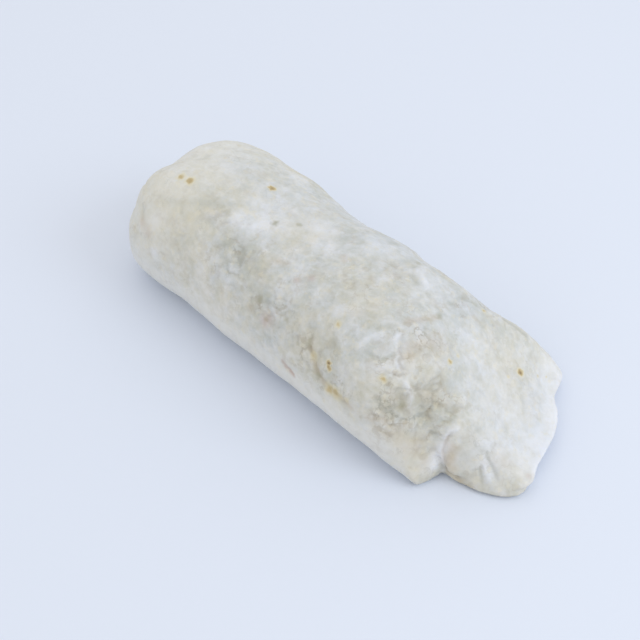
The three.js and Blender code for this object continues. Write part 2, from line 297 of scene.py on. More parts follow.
# Patches of tone: (place, radius, tone, strength).
PATCHES = [
    ((-38, -29, 43), 6, "damp_and_shade", 0.56), ((-29, -30, 41), 6.5, "damp_and_shade", 0.52),
    ((-20, -31, 40), 6, "damp_and_shade", 0.49), ((-14, -35.5, 35), 5, "damp_and_shade", 0.56),
    ((0.2, -36, 35.5), 5, "damp_and_shade", 0.52), ((8, -37, 34), 4.5, "damp_and_shade", 0.42),
    ((52, -33, 30.5), 5, "damp_and_shade", 0.59), ((58, -24, 30), 6, "damp_and_shade", 0.49),
    ((61.7, -25.4, 23.4), 6, "damp_and_shade", 0.52), ((-24.5, -29.3, 41.5), 4, "damp_and_shade", 0.42),
    ((18.8, 12.3, 44.2), 4, "damp_and_shade", 0.35), ((12, -18, 47), 7, "damp_and_shade", 0.28),
    ((-8, 2, 46), 5, "damp_and_shade", 0.24), ((27, -20, 47.5), 5, "damp_and_shade", 0.28), ((3, -30, 41), 5, "damp_and_shade", 0.32),
    ((-61.5, -2.2, 49), 6, "bright", 0.3), ((-47.3, 12.4, 45), 7, "bright", 0.3),
    ((-33, -12, 46.5), 9, "bright", 0.6), ((-18.1, -0.9, 46.4), 6, "bright", 0.5),
    ((-8.4, -7.5, 47.1), 5, "bright", 0.5), ((-36.6, -20, 46.3), 5, "bright", 0.5),
    ((-66.1, -41.7, 27.4), 2.6, "bright", 0.9), ((-70.6, -36.9, 37.8), 3, "bright", 0.7),
    # The bright patches on the flap and the near end, below, are partly whiter dough and partly painted
    # window light.
    ((30, 10, 45), 8, "bright", 0.4), ((60, 2, 28), 12, "bright", 0.4),
    ((76, 0, 17), 13, "bright", 0.36), ((90, 14, 6), 12, "bright", 0.9),
    ((72, 36, 6), 12, "bright", 1.0), ((88, -4, 8), 8, "bright", 0.6),
    ((46, -26, 40), 4, "bright", 0.4), ((92, 3, 6), 7, "bright", 0.9), ((84, 26, 6), 9, "bright", 1.0),
    ((52, 6, 33), 6, "bright", 0.5), ((5, 7, 46.5), 6, "bright", 0.5),
    ((41, -21.5, 44), 3.4, "bright", 0.6), ((66, -30, 8), 4, "bright", 0.4),
    ((19.2, -18.6, 47.3), 5, "warm", 0.7), ((25.1, -17.3, 47.7), 4.5, "warm", 0.6),
    ((37.7, -26.3, 43.5), 2.2, "tan", 0.5), ((47.3, -19.6, 41), 2.4, "warm", 0.8),
    ((46, -11.5, 42), 3, "tan", 0.5), ((51, -9.5, 38.5), 3, "warm", 0.7),
    ((63.1, -36, 7.9), 5, "warm", 0.9), ((65.9, -34.5, 4.6), 4, "tan", 0.4),
    ((55.7, -36.8, 21.2), 3.4, "tan", 0.45), ((59, -36.6, 15), 4, "tan", 0.3),
    # The two bright patches on the flap here are partly painted window light.
    ((3.9, 14.7, 43.1), 2.6, "damp_and_shade", 0.8), ((78, -14, 14), 7, "bright", 0.6),
    ((84, -16, 6), 5, "bright", 0.5), ((58, -33, 20), 5, "damp_and_shade", 0.45), ((49, -35, 30), 4, "damp_and_shade", 0.5),
    ((61, -31, 16), 4, "tan", 0.45), ((52, -30, 31), 4, "tan", 0.5), ((49, -33, 30), 3, "tan", 0.5),
    ((43.5, -17, 43), 3.5, "tan", 0.5), ((47, -13, 41), 3, "tan", 0.45),
    ((45.1, -20.8, 42.2), 3.4, "tan", 0.75), ((48.3, -9.9, 40.4), 4, "tan", 0.5),
    ((56.9, -23.5, 31.4), 3.4, "tan", 0.7), ((84, -11.5, 10.9), 3.2, "tan", 0.6),
    ((52.9, -38.9, 21.7), 2.6, "tan", 0.6), ((-19, -24, 43.4), 2.4, "tan", 0.4),
    # Tan along the lower layer's edge here: partly painted shade under the upper layer, partly its toasted
    # edge.
    ((70.7, -25.1, 3.8), 3, "tan", 0.9), ((76, -24, 2.4), 3.4, "tan", 0.8),
    ((78.6, -24.3, 1.4), 3, "tan", 0.6), ((15.1, -8.4, 48.1), 1.3, "tan", 0.6),
    ((46, -17.2, 42.2), 2.2, "tan", 0.5), ((-16.2, -38.2, 31), 2, "tan", 0.7),
    ((-7.9, -38.1, 30.9), 2.6, "rosy", 1.0), ((-5.7, -24.9, 43.6), 1.4, "rosy", 0.6),
    ((-1.5, -21.6, 45.4), 1.4, "rosy", 0.6), ((-77.3, -38.3, 33.3), 2.2, "rosy", 0.5),
    ((-72.3, -40, 32.4), 2.4, "rosy", 0.5), ((-70, -35, 37), 17, "warm", 0.75),
    ((-55.2, -27.1, 45.6), 4.5, "warm", 0.9), ((-54, -31.4, 42.6), 4.5, "warm", 0.9),
    ((-64, -27, 45.6), 7, "warm", 0.5), ((19.7, -29.7, 43.6), 2, "warm", 0.5),
    ((14, -14, 48), 7, "warm", 0.35), ((20, -20, 47), 5.5, "warm", 0.5),
    ((50, -38, 22), 8, "warm", 0.5), ((60, -34, 12), 8, "warm", 0.5), ((58, -35, 19), 3.5, "tan", 0.4),
    ((61.1, -33, 14.6), 3.5, "tan", 0.45), ((64.3, -30.8, 9.9), 3, "tan", 0.5),
    ((92.4, -7.6, 6), 1.2, "rosy", 0.5), ((92.4, -7.6, 6), 1.6, "damp_and_shade", 0.5),
    # Cool patches: the window's bluish light, painted on the surfaces that face it.
    ((-57, 0, 48.5), 12, "cool", 0.5), ((-71, 16, 41), 9, "cool", 0.4),
    ((-38, -2, 47), 13, "cool", 0.8), ((-24, 2, 46), 11, "cool", 0.8), ((-20, 19, 37), 12, "cool", 0.8),
    ((2, 11, 45), 10, "cool", 0.8), ((14, 12, 44), 9, "cool", 0.6), ((34, 8, 44), 9, "cool", 0.5),
    ((46, 12, 37), 10, "cool", 0.6), ((66, -2, 24), 11, "cool", 0.5), ((76, -2, 15), 11, "cool", 0.5),
    ((74, 15, 12), 12, "cool", 0.5), ((86, 5, 8), 10, "cool", 0.6), ((75, -20, 13), 7, "cool", 0.7),
    ((84, -15, 9), 6, "cool", 0.6), ((68.3, -26, 10), 3, "cool", 0.8), ((54, -27, 31), 7, "cool", 0.5),
    # Tan along the lobe's flank and step: partly painted shade, partly its toasted edge.
    ((69.7, -25.1, 10.9), 2, "tan", 0.9), ((72.4, -25.5, 7), 2, "tan", 0.8),
    ((68.5, -24.3, 15), 1.6, "tan", 0.7), ((-60, 0, 48.7), 12, "damp_and_shade", 0.3),
    ((-35, 26.5, 28), 7, "damp_and_shade", 0.5), ((9, 26.5, 29), 7, "damp_and_shade", 0.5), ((40, 26, 27), 6, "tan", 0.35),
    ((-70, 24, 34), 8, "warm", 0.6), ((-16, 26.5, 27), 7, "bright", 0.6),
    ((26, 26.5, 28), 5, "bright", 0.6), ((-94, -14, 30), 8, "warm", 0.5),
    ((-93.5, 4, 18), 7, "damp_and_shade", 0.4),
]

# Where the sheet is crumpled most: (place, radius, strength).
CRUMPLED = [
    ((57, -25, 30), 10, 1.0), ((45, -27, 41), 8, 0.8), ((62, -27, 22), 7, 1.0), ((42, -13, 43), 8, 0.7),
    ((51, -35, 27), 9, 0.95), ((12, -37, 34), 9, 0.7), ((-32, -30, 41), 10, 0.6),
    ((-8, -35, 36), 9, 0.7), ((40, 12, 40), 8, 0.4), ((15, -10, 48), 10, 0.35), ((30, -38, 28), 8, 0.5),
    ((80, -18, 10), 8, 0.4), ((62, -32.5, 12), 7, 0.55), ((-32, 26, 28), 10, 0.4),
    ((8, 26, 30), 10, 0.45), ((44, 25, 28), 8, 0.5), ((-68, 23, 34), 9, 0.3), ((-94, -18, 24), 8, 0.35),
    ((-93, 6, 12), 7, 0.3),
]

# Small round marks of the griddle: (place, radius, depth of colour from 0 to 1).
TOASTED = [
    ((-73.2, -20.9, 48.1), 2.0, 0.56), ((-68.7, -20.2, 48.5), 2.2, 0.66),
    ((-44.8, 0.0, 47.8), 1.5, 0.80), ((19.7, -29.7, 43.6), 1.5, 0.48), ((24.1, -38.7, 34.1), 1.4, 0.92),
    ((24.8, -39.3, 32.7), 1.4, 0.80), ((17.0, -39.2, 32.0), 2.0, 0.48),
    ((16.0, -38.8, 33.2), 1.4, 0.42), ((27.2, -41.2, 24.8), 2.8, 0.56),
    ((30.1, -41.1, 25.3), 3.0, 0.58), ((32.6, -41.2, 25.8), 1.5, 0.42),
    ((35.8, -41.2, 26.4), 1.4, 0.34), ((44.1, -32.7, 37.5), 1.5, 0.56), ((54.2, -9.8, 36.4), 1.3, 0.60),
    ((53.8, -4.9, 35.3), 1.0, 0.40), ((65.8, 18.4, 18.0), 1.6, 0.86), ((65.2, 11.4, 20.7), 1.0, 0.36),
    ((68.2, 26.3, 11.8), 0.8, 0.5), ((69.5, 30.7, 8.8), 0.8, 0.42), ((-68.0, 24.0, 35.6), 1.3, 0.55),
    ((-65.0, 25.3, 33.5), 1.0, 0.42), ((-48.0, 29.3, 25.6), 1.5, 0.50),
    ((-26.0, 25.2, 29.5), 1.2, 0.62), ((-4.0, 27.6, 22.8), 1.0, 0.42), ((24.0, 27.0, 26.3), 1.7, 0.60),
    ((27.0, 26.1, 28.6), 1.1, 0.44), ((45.0, 20.0, 33.3), 1.3, 0.50), ((-93.1, -19.0, 35.0), 1.2, 0.50),
    ((-94.1, 3.0, 26.0), 0.9, 0.44),
]

# Small greenish grey marks, flatter and duller than the toasted ones: (place, radius, depth).
GREY_MARKS = [
    ((-30.6, -11.9, 46.5), 1.7, 0.85), ((-23.8, -6.2, 46.5), 1.3, 0.6), ((21.5, -40.9, 26.8), 1.5, 0.7),
    ((12.9, -37.5, 34.6), 1.4, 0.8), ((52.5, -31.9, 30.4), 1.8, 0.7), ((-14.2, -35.5, 35.2), 1.5, 0.6),
    ((0.2, -35.9, 35.5), 1.4, 0.55), ((18.8, 12.3, 44.2), 1.4, 0.6), ((-39.8, 22.7, 36.6), 1.7, 0.7),
    ((41.0, -0.8, 42.7), 1.5, 0.6), ((-8.4, -38.0, 31.0), 1.3, 0.4),
]


# ---------------------------------------------------------------- the sheet's mesh, mm

VOXEL_MM = 0.725

# In a round of smoothing, each vertex goes this share of the way to its neighbours' mean.
SMOOTH_SHARE = 0.5
SMOOTH_ROUNDS = 19

# The creased corner's tip, the ear's, and the lobe's front edge, where its two layers nearly close up. They
# are rounded most: (place, reach, rounds of smoothing).
TIPS = [
    ((69, -36, 1), 3.4, 32),
    ((69.3, 41.5, 4), 4.5, 48),
    ((80, -22.5, 2.5), 4.5, 56),
    ((87, -19.5, 2.5), 4.5, 56),
    ((92, -15, 2.5), 4, 19),
]

# The flap's thin lips, where x is above its range and z below its own, are smoothed less and get less relief.
LIPS_X = (58, 64)
LIPS_Z = (9, 13)
LIPS_CRISP = 0.9
LIPS_FLAT = 0.4

# The height over which relief comes in, so that the underside stays flat.
CLEAR_Z = (0.3, 3.0)

# A fold tapers over these parts of its length. Its stain is wider than the fold, and partly ragged.
TAPER_IN = (0, 0.2)
TAPER_OUT = (0.8, 1)
STAIN_WIDTH = 1.15
STAIN_EVEN = 0.4
STAIN_RAGGED = 0.6

# The low front, by its ranges of -y, z and x, is smooth, and has a little of two tones.
LOW_FRONT_Y = (26, 38)
LOW_FRONT_Z = (14, 26)
LOW_FRONT_X = (50, 70)
LOW_FRONT_TONES = {"warm": 0.3, "bright": 0.28}

# The closed end and the back are calmer than the middle, and calm places get less relief.
CLOSED_END_X = (-76, -48)
CLOSED_END_CALM = 0.75
BACK_Y = (14, 28)
BACK_CALM = 0.3
CALM_FLAT = 0.45

# Noise in layers: (share, wavelength, shift), and a stretch along x, y and z where there is one.
LUMPS = [(0.45, 26, 3.1), (0.34, 13, 7.7)]
RAGGED_MEAN = 0.65
RAGGED = [(0.35, 3.4, 51.3), (0.25, 1.7, 5.9)]
CREASE_FIELD = [(1, 6.4, 11.9), (0.45, 2.8, 4.4)]
WRINKLE_FIELD = [(1, 4.4, 33.3, (1.5, 1, 1)), (0.35, 2.1, 9.4)]
PUFFS = [(0.55, 5.4, 17.1), (0.34, 2.6, 27.7)]

# Creases and wrinkles run where their field passes through zero, and this is how narrowly.
CREASE_WIDTH = 0.12
WRINKLE_WIDTH = 0.14

# Areas that are broken up or wrinkled: a noise's (wavelength, shift), and the values over which they come in.
# Broken areas have creases and seams by these shares, and bright ones among them have fewer creases.
BROKEN_AREAS = ((8.5, 21.3), (0.0, 0.4))
WRINKLED_AREAS = ((11, 63.1), (-0.1, 0.35))
BROKEN_CREASES = 0.75
BROKEN_SEAMS = 0.35
BRIGHT_UNCREASED = 0.5

# An uneven honeycomb: its cells' width and shift, how near to a cell's edge its seam lies, and its warp.
CELL_WIDTH = 3.1
CELL_SHIFT = 41.7
SEAM_EDGE = (0.02, 0.2)
WARP_MM = 0.7
WARP_WAVELENGTH = 2.2
WARP_SHIFTS = (0, 10, 20)

# The fine relief's height everywhere, and what is added where the sheet is crumpled. Puffs count in full.
RELIEF_MM = 0.27
CRUMPLED_RELIEF_MM = 0.6
WRINKLE_RISE = 0.32
CREASE_DROP = 0.65
SEAM_DROP = 0.16

# What the material is told: (value everywhere, what is added by crumpling or puffs), and the seams' share.
# The groove layer is painted shade in creases and seams.
# This layer places the brown smears and the painted shade lines of fine wrinkles.
MARKS_AND_SHADE_LAYER = (0.3, 1.2)
GROOVE_LAYER = (0.45, 0.75)
# The relief layer whitens the puffs' tops and greys their hollows: painted light and shade.
RELIEF_LAYER = (0.5, 0.55)
SEAM_GROOVE = 0.35


def smooth_step(value, low, high):
    """0 below the range, 1 above it, and a smooth rise between."""
    t = np.clip((value - low) / (high - low), 0, 1)
    return t * t * (3 - 2 * t)


def fade(value, low, high):
    return 1 - smooth_step(value, low, high)


def bell(gap, width):
    return np.exp(-((gap / width) ** 2))


def level(layer, added):
    everywhere, share = layer
    return everywhere + share * added


def copied_in_mm(node, name):
    """A copy of a node's mesh, in millimetres."""
    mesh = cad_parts[node].data.copy()
    mesh.transform(Matrix.Scale(1 / MM, 4))
    piece = bpy.data.objects.new(name, mesh)
    bpy.context.scene.collection.objects.link(piece)
    return piece


def remesh(piece, voxel):
    """The piece's mesh is made of even small quads."""
    modifier = piece.modifiers.new("even_grid", "REMESH")
    modifier.mode = "VOXEL"
    modifier.voxel_size = voxel
    depsgraph = bpy.context.evaluated_depsgraph_get()
    made = bpy.data.meshes.new_from_object(piece.evaluated_get(depsgraph))
    piece.modifiers.clear()
    old = piece.data
    piece.data = made
    made.name = piece.name
    bpy.data.meshes.remove(old)


class Skin:
    """The piece's vertices as arrays, and the steps that shape them."""

    def __init__(self, piece):
        self.mesh = piece.data
        count = len(self.mesh.vertices)
        self.points = np.empty(count * 3, np.float32)
        self.mesh.vertices.foreach_get("co", self.points)
        self.points = self.points.reshape(-1, 3).astype(float)
        edges = np.empty(len(self.mesh.edges) * 2, np.int32)
        self.mesh.edges.foreach_get("vertices", edges)
        self.edges = edges.reshape(-1, 2)
        self.degree = np.bincount(self.edges.ravel(), minlength=count).astype(float)

    def store(self):
        self.mesh.vertices.foreach_set("co", self.points.astype(np.float32).ravel())
        self.mesh.update()

    def normals(self):
        self.store()
        found = np.empty(len(self.points) * 3, np.float32)
        self.mesh.vertex_normals.foreach_get("vector", found)
        return found.reshape(-1, 3).astype(float)

    def neighbour_mean(self, values):
        a, b = self.edges.T
        count = len(values)
        total = np.stack(
            [
                np.bincount(a, values[b, k], count) + np.bincount(b, values[a, k], count)
                for k in range(values.shape[1])
            ],
            axis=1,
        )
        return total / self.degree[:, None]

    def smooth(self, share, rounds):
        """Each vertex goes its share of the way to its neighbours' mean, and so again."""
        for _ in range(rounds):
            self.points += share[:, None] * (self.neighbour_mean(self.points) - self.points)

    def push(self, height):
        """Each vertex moves out by its height, along its normal."""
        self.points += height[:, None] * self.normals()

    def nothing(self):
        return np.zeros(len(self.points))

    def noise(self, wavelength, shift, stretch=(1, 1, 1)):
        """Gradient noise of that wavelength at each vertex, about -1 to 1."""
        scaled = self.points / (np.array(stretch) * wavelength) + shift
        return np.array([noise.noise(p, noise_basis="PERLIN_ORIGINAL") for p in scaled])

    def layered(self, layers, base=0):
        """Noise in layers, added to a base."""
        return sum((share * self.noise(*how) for share, *how in layers), base)

    def areas(self, how, comes_in):
        """Areas of noise, 0 outside them and 1 inside."""
        return smooth_step(self.noise(*how), *comes_in)

    def cells(self, width, shift):
        """How far each vertex lies from the edge of its own cell of an uneven honeycomb, about 0 to 1."""
        warp = np.stack([self.noise(WARP_WAVELENGTH, shift + more) for more in WARP_SHIFTS], axis=1)
        scaled = (self.points + WARP_MM * warp) / width + shift
        nearest = np.array([noise.voronoi(p)[0][:2] for p in scaled])
        return nearest[:, 1] - nearest[:, 0]

    def around(self, place, reach):
        """1 at a place, and falling off over its reach."""
        return bell(np.linalg.norm(self.points - np.array(place, float), axis=1), reach)

    def from_line(self, line):
        """Each vertex's distance from a line of points, and how far along it lies, 0 to 1."""
        line = np.array(line, float)
        lengths = np.linalg.norm(np.diff(line, axis=0), axis=1)
        starts = np.concatenate([[0], np.cumsum(lengths)])
        nearest = np.full(len(self.points), np.inf)
        along = self.nothing()
        for start, end, length, before in zip(line[:-1], line[1:], lengths, starts):
            way = end - start
            t = np.clip(((self.points - start) @ way) / (length * length), 0, 1)
            gap = np.linalg.norm(self.points - start - t[:, None] * way, axis=1)
            closer = gap < nearest
            nearest[closer] = gap[closer]
            along[closer] = (before + t[closer] * length) / starts[-1]
        return nearest, along

    def keep(self, name, values):
        """Values from 0 to 1 go with the mesh, for its material."""
        layer = self.mesh.attributes.new(name, "FLOAT", "POINT")
        layer.data.foreach_set("value", np.clip(values, 0, 1).astype(np.float32))


def round_off(skin):
    """The grid's steps are smoothed away. Says where the thin lips are."""
    x, _, z = skin.points.T
    lips = smooth_step(x, *LIPS_X) * fade(z, *LIPS_Z)
    skin.smooth(SMOOTH_SHARE * (1 - LIPS_CRISP * lips), SMOOTH_ROUNDS)
    for place, reach, rounds in TIPS:
        skin.smooth(SMOOTH_SHARE * skin.around(place, reach), rounds)
    return lips


def fold(skin, clear):
    """The folds are raised or sunk, and they and the patches give the tones."""
    tones = {name: skin.nothing() for name in TONES}
    ragged = skin.layered(RAGGED, RAGGED_MEAN)
    rise = skin.nothing()
    for line, half_width, height, tone, strength in FOLDS.values():
        gap, along = skin.from_line(line)
        taper = smooth_step(along, *TAPER_IN) * fade(along, *TAPER_OUT)
        rise += height * bell(gap, half_width) * taper
        stain = strength * bell(gap, STAIN_WIDTH * half_width) * taper * (STAIN_EVEN + STAIN_RAGGED * ragged)
        tones[tone] = np.maximum(tones[tone], stain)
    skin.push(rise * clear)
    for place, radius, tone, strength in PATCHES:
        stain = strength * skin.around(place, radius) * ragged
        tones[tone] = 1 - (1 - tones[tone]) * (1 - np.clip(stain, 0, 1))
    return tones


def calm_places(skin, tones):
    """Where the sheet is smooth. The low front's own tones are added to the others."""
    x, y, z = skin.points.T
    low_front = smooth_step(-y, *LOW_FRONT_Y) * fade(z, *LOW_FRONT_Z) * fade(x, *LOW_FRONT_X)
    for tone, strength in LOW_FRONT_TONES.items():
        tones[tone] = np.maximum(tones[tone], strength * low_front)
    closed_end = CLOSED_END_CALM * fade(x, *CLOSED_END_X)
    return np.maximum.reduce([low_front, closed_end, BACK_CALM * smooth_step(y, *BACK_Y)])


def crumple(skin, bright, clear, lively):
    """The fine relief, strongest where the sheet is crumpled. Gives what its colours need to know of it."""
    crumpled = skin.nothing()
    for place, radius, strength in CRUMPLED:
        crumpled = np.maximum(crumpled, strength * skin.around(place, radius))
    broken = skin.areas(*BROKEN_AREAS)
    creased = np.clip(BROKEN_CREASES * broken * (1 - BRIGHT_UNCREASED * bright) + crumpled, 0, 1)
    creases = bell(skin.layered(CREASE_FIELD), CREASE_WIDTH) * creased
    wrinkles = bell(skin.layered(WRINKLE_FIELD), WRINKLE_WIDTH) * skin.areas(*WRINKLED_AREAS)
    seamed = np.clip(crumpled + BROKEN_SEAMS * broken, 0, 1)
    seams = fade(skin.cells(CELL_WIDTH, CELL_SHIFT), *SEAM_EDGE) * seamed
    puffs = skin.layered(PUFFS)
    relief = puffs + WRINKLE_RISE * wrinkles - CREASE_DROP * creases - SEAM_DROP * seams
    skin.push((RELIEF_MM + CRUMPLED_RELIEF_MM * crumpled) * relief * lively)
    # The groove layer darkens the colour in creases and seams: painted shade.
    grooves = np.maximum(creases, SEAM_GROOVE * seams)
    return {
        "marks_and_shade": level(MARKS_AND_SHADE_LAYER, crumpled) * (1 - bright),
        "groove": grooves * clear * level(GROOVE_LAYER, crumpled),
        # The crest layer lightens the wrinkles' crests: painted highlight.
        "crest": wrinkles * clear,
        # The relief layer whitens the puffs' tops and greys their hollows: painted light and shade.
        "relief": level(RELIEF_LAYER, puffs),
    }


def make_tortilla():
    piece = copied_in_mm("burrito", "tortilla")
    remesh(piece, VOXEL_MM)
    skin = Skin(piece)
    lips = round_off(skin)
    clear = smooth_step(skin.points[:, 2], *CLEAR_Z)
    body = clear * (1 - LIPS_FLAT * lips)
    skin.push(skin.layered(LUMPS) * body)
    tones = fold(skin, clear)
    calm = calm_places(skin, tones)
    lively = (1 - CALM_FLAT * calm) * body
    fine = crumple(skin, tones["bright"], clear, lively)
    for name, values in {**tones, "calm": calm, **fine}.items():
        skin.keep(name, values)
    skin.points[:, 2] = np.maximum(skin.points[:, 2], 0)
    skin.points *= MM
    skin.store()
    piece.data.shade_smooth()
    return piece


# ---------------------------------------------------------------- shader nodes

def srgb(r, g, b):
    """A colour given as 0 to 255 display values, as the linear values that shaders take."""
    def linear(v):
        v /= 255
        return v / 12.92 if v <= 0.04045 else ((v + 0.055) / 1.055) ** 2.4
    return (linear(r), linear(g), linear(b), 1.0)


class Nodes:
    """A small helper that adds shader nodes and joins them."""

    def __init__(self, name):
        self.material = bpy.data.materials.new(name)
        self.material.use_nodes = True
        self.tree = self.material.node_tree
        self.tree.nodes.clear()

    def add(self, kind, **settings):
        node = self.tree.nodes.new(kind)
        for key, value in settings.items():
            setattr(node, key, value)
        return node

    def feed(self, node, inputs):
        """Each input gets its number or colour, or is joined to the socket given for it."""
        for key, value in inputs.items():
            if isinstance(value, bpy.types.NodeSocket):
                self.tree.links.new(value, node.inputs[key])
            else:
                node.inputs[key].default_value = value

    def vector_math(self, operation, inputs):
        node = self.add("ShaderNodeVectorMath", operation=operation)
        self.feed(node, inputs)
        return node.outputs

    def places_in_mm(self):
        coords = self.add("ShaderNodeTexCoord")
        return self.vector_math("SCALE", {0: coords.outputs["Object"], "Scale": 1 / MM})[0]

    def math(self, operation, a, b=0.0):
        node = self.add("ShaderNodeMath", operation=operation)
        self.feed(node, {0: a, 1: b})
        return node.outputs[0]

    def scaled(self, value, share):
        return self.math("MULTIPLY", value, share)

    def noise(self, where, wavelength, detail, roughness):
        node = self.add("ShaderNodeTexNoise")
        self.feed(node, {"Vector": where, "Scale": 1 / wavelength, "Detail": detail, "Roughness": roughness})
        return node.outputs

    def spread(self, value, low, high, out_low=0.0, out_high=1.0):
        """A smooth step from one output to the other as the value goes from low to high."""
        node = self.add("ShaderNodeMapRange", interpolation_type="SMOOTHSTEP")
        self.feed(node, {"Value": value, "From Min": low, "From Max": high})
        self.feed(node, {"To Min": out_low, "To Max": out_high})
        return node.outputs["Result"]

    def mix(self, share, a, b):
        node = self.add("ShaderNodeMix", data_type="RGBA")
        self.feed(node, {"Factor": share, "A": a, "B": b})
        return node.outputs["Result"]

    def ramp(self, value, stops):
        node = self.add("ShaderNodeValToRGB")
        self.feed(node, {"Fac": value})
        elements = node.color_ramp.elements
        while len(elements) < len(stops):
            elements.new(0.5)
        for element, (at, colour) in zip(elements, stops):
            element.position = at
            element.color = srgb(*colour)
        return node.outputs["Color"]

    def surface(self, inputs):
        """The material, with its shader's inputs."""
        shader = self.add("ShaderNodeBsdfPrincipled")
        self.feed(shader, inputs)
        out = self.add("ShaderNodeOutputMaterial")
        self.feed(out, {"Surface": shader.outputs[0]})
        return self.material


# ---------------------------------------------------------------- the sheet's material

# The edges of some patterns and of all spots are ragged: the wavelength and the reach of what moves them, mm.
RAGGED_WAVELENGTH = 1.8
RAGGED_REACH = 0.9

# Noise patterns: (wavelength in mm, detail, roughness, with ragged edges or not).
PATTERNS = {
    "broad": (22, 2.0, 0.5, False),
    "blotch": (4.6, 3.0, 0.6, True),
    "fleck": (1.7, 2.0, 0.6, False),
    "broad_cast": (30, 1.0, 0.5, False),
    "small_cast": (4.2, 3.0, 0.6, True),
    "smudge": (9, 2.0, 0.5, False),
    "thread": (3.4, 2.0, 0.55, False),
    "threaded": (6.5, 1.0, 0.5, False),
    "cream": (3.3, 2.0, 0.55, True),
    "smear": (5.2, 3.0, 0.6, True),
    "pimples": (1.7, 1.0, 0.5, False),
    "grain": (0.8, 1.0, 0.5, False),
}

# Sums of patterns and of the layers kept at the vertices, each with its share.
# The relief share makes the puffs' tops whiter and their hollows greyer: painted light and shade on the
# puffs.
OPACITY = {"broad": 0.33, "blotch": 0.46, "fleck": 0.34, "relief": 0.4, "bright": 0.16, "damp_and_shade": -0.22}
CAST = {"broad_cast": 0.55, "small_cast": 0.45}
BUMPS = {"pimples": 0.8, "grain": 0.2}

# The values of a pattern or sum over which its mark goes from none to full. The roughness goes between the
# two values after its range.
RANGES = {
    "opacity": (0.5, 1.1),
    "cast": (0.36, 0.64),
    "smudge": (0.35, 0.6),
    "thread": (0.035, 0.004),
    "threaded": (0.5, 0.64),
    "cream": (0.57, 0.7),
    "smear": (0.54, 0.66),
    "halo": (0.02, 0.26),
    "browned": (0.22, 0.52),
    "roughness": (0.3, 0.7, 0.74, 0.6),
}

# Display colours. The first of each pair is the cool one.
TRANSLUCENT = ((185, 189, 185), (193, 191, 176))
OPAQUE = ((215, 218, 224), (219, 217, 211))
# Painted shade for creases, seams and thin wrinkles, cool and warm.
CREASE_SHADE = ((152, 153, 144), (158, 147, 131))

# Tints in the order they are laid on, below the grooves' painted shade and above it:
# (layer, share, display colour).
TINTS_BELOW = [
    ("calm", 0.65, (228, 227, 221)),
    # The bright tint also lays the folds' painted highlights and painted window light on the flap.
    ("bright", 0.75, (232, 236, 246)),
    # The wrinkles' crests are lightened: painted highlight.
    ("crest", 0.3, (226, 228, 231)),
    # The cool tint is painted window light.
    ("cool", 0.45, (208, 215, 228)),
    # The damp tint also lays the painted shade of the folds' grooves.
    ("damp_and_shade", 0.3, (158, 157, 144)),
]
TINTS_ABOVE = [
    ("warm", 0.55, (212, 206, 186)),
    ("tan", 0.55, (182, 164, 136)),
    ("rosy", 0.8, (184, 156, 142)),
]

# Marks on top of the tints: (share, display colour), or the share alone for the painted shade of creases and
# wrinkles.
GROOVE_SHARE = 0.5
WRINKLE_SHADE_SHARE = 0.5
CREAM = (0.24, (221, 213, 188))
SMEAR = (0.4, (163, 153, 134))
GREY = (0.8, (150, 148, 122))
HALO = (0.4, (219, 210, 178))

# The griddle's brown, by the depth of the mark.
BROWNS = [
    (0.2, (210, 203, 178)),
    (0.45, (198, 184, 148)),
    (0.7, (177, 159, 122)),
    (0.92, (122, 106, 82)),
]

# A spot fades from its core to its edge, in radii.
SPOT_EDGE = 1.5
SPOT_CORE = 0.05

BUMP_STRENGTH = 0.5
BUMP_MM = 0.35
SCATTER_MM = (2.0, 1.7, 1.3)


class SheetNodes(Nodes):
    """Nodes that know the places on the sheet, its patterns and its layers."""

    def __init__(self, name):
        super().__init__(name)
        self.where = self.places_in_mm()
        self.ragged = self.moved_places()

    def moved_places(self):
        """Places moved to and fro by noise, which makes ragged edges."""
        wobble = self.noise(self.where, RAGGED_WAVELENGTH, 1.0, 0.5)["Color"]
        span = (2 * RAGGED_REACH,) * 3
        start = (-RAGGED_REACH,) * 3
        centred = self.vector_math("MULTIPLY_ADD", {0: wobble, 1: span, 2: start})[0]
        return self.vector_math("ADD", {0: self.where, 1: centred})[0]

    def value(self, name):
        """The pattern of that name, or else the layer kept at the vertices."""
        if name not in PATTERNS:
            return self.add("ShaderNodeAttribute", attribute_name=name).outputs["Fac"]
        *how, is_ragged = PATTERNS[name]
        return self.noise(self.ragged if is_ragged else self.where, *how)["Fac"]

    def total(self, shares):
        """The sum of patterns and layers, each times its share."""
        parts = [self.scaled(self.value(name), share) for name, share in shares.items()]
        whole = parts[0]
        for part in parts[1:]:
            whole = self.math("ADD", whole, part)
        return whole

    def patch(self, name):
        return self.spread(self.value(name), *RANGES[name])

    def pair(self, share, colours):
        return self.mix(share, *(srgb(*colour) for colour in colours))

    def tint(self, colour, mask, share, over):
        return self.mix(self.scaled(mask, share), colour, srgb(*over))

    def spots(self, marks):
        """The deepest of the round marks at each place."""
        deepest = None
        for place, radius, depth in marks:
            gap = self.vector_math("DISTANCE", {0: self.ragged, 1: place})["Value"]
            mark = self.spread(gap, SPOT_EDGE * radius, SPOT_CORE * radius, 0.0, depth)
            deepest = mark if deepest is None else self.math("MAXIMUM", deepest, mark)
        return deepest


def dough_colour(nodes):
    """Translucent and opaque dough, each cooler here and warmer there."""
    opacity = nodes.spread(nodes.total(OPACITY), *RANGES["opacity"])
    cast = nodes.spread(nodes.total(CAST), *RANGES["cast"])
    return nodes.mix(opacity, nodes.pair(cast, TRANSLUCENT), nodes.pair(cast, OPAQUE))


